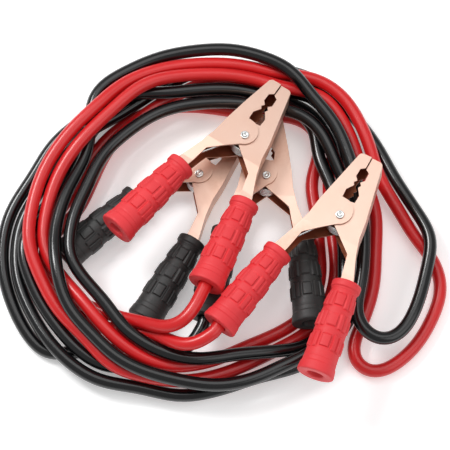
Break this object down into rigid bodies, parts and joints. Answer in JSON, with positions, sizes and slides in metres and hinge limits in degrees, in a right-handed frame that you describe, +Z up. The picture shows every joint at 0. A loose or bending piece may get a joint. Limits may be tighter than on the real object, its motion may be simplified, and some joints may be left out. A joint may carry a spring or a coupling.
{
  "type": "car jumper cable set",
  "caption": "Jumper cable set: red and black cables laid in a loose pile, with sprung copper-plated clamps in moulded grips.",
  "frame": {"origin": "on the floor, under the middle of the four clamps", "axes": "+Z up; +Y away from the viewer of the picture, towards the jaws of the upper clamps; +X to the right"},
  "size_m": [0.3103, 0.2559, 0.0639],
  "materials": {
    "copper_plate": "copper plated, satin",
    "zinc": "bright zinc",
    "red_grip": "matte moulded",
    "black_grip": "matte moulded",
    "red_cable": "satin jacket",
    "black_cable": "glossy jacket"
  },
  "bodies": {
    "cables": {"red_a_fixed_arm": "copper_plate", "red_a_rivet": "zinc", "red_a_spring": "zinc", "red_a_fixed_grip": "red_grip", "red_b_fixed_arm": "copper_plate", "red_b_rivet": "zinc", "red_b_spring": "zinc", "red_b_fixed_grip": "red_grip", "black_a_fixed_arm": "copper_plate", "black_a_rivet": "zinc", "black_a_spring": "zinc", "black_a_fixed_grip": "black_grip", "black_b_fixed_arm": "copper_plate", "black_b_rivet": "zinc", "black_b_spring": "zinc", "black_b_fixed_grip": "black_grip", "red_cable": "red_cable", "black_cable": "black_cable"},
    "red_a_lever": {"red_a_moving_arm": "copper_plate", "red_a_spring_leg": "zinc", "red_a_moving_grip": "red_grip"},
    "red_b_lever": {"red_b_moving_arm": "copper_plate", "red_b_spring_leg": "zinc", "red_b_moving_grip": "red_grip"},
    "black_a_lever": {"black_a_moving_arm": "copper_plate", "black_a_spring_leg": "zinc", "black_a_moving_grip": "black_grip"},
    "black_b_lever": {"black_b_moving_arm": "copper_plate", "black_b_spring_leg": "zinc", "black_b_moving_grip": "black_grip"}
  },
  "joints": [
    {"name": "red_a_squeeze", "type": "hinge", "parent": "cables", "child": "red_a_lever", "pos_m": [0.019, 0.064, 0.0395], "axis": [0.0475, 0.0731, 0.9962], "range_deg": [0, 24], "stiffness_Nm_per_rad": 0.9, "springref_deg": -40.11},
    {"name": "red_b_squeeze", "type": "hinge", "parent": "cables", "child": "red_b_lever", "pos_m": [0.083, 0.004, 0.0475], "axis": [0.0526, -0.049, -0.9974], "range_deg": [0, 24], "stiffness_Nm_per_rad": 0.9, "springref_deg": -40.11},
    {"name": "black_a_squeeze", "type": "hinge", "parent": "cables", "child": "black_a_lever", "pos_m": [-0.012, 0.047, 0.0123], "axis": [0, 0, 1], "range_deg": [0, 24], "stiffness_Nm_per_rad": 0.9, "springref_deg": -40.11},
    {"name": "black_b_squeeze", "type": "hinge", "parent": "cables", "child": "black_b_lever", "pos_m": [0.035, 0.044, 0.0151], "axis": [0.0473, -0.0731, -0.9962], "range_deg": [0, 24], "stiffness_Nm_per_rad": 0.9, "springref_deg": -40.11}
  ]
}
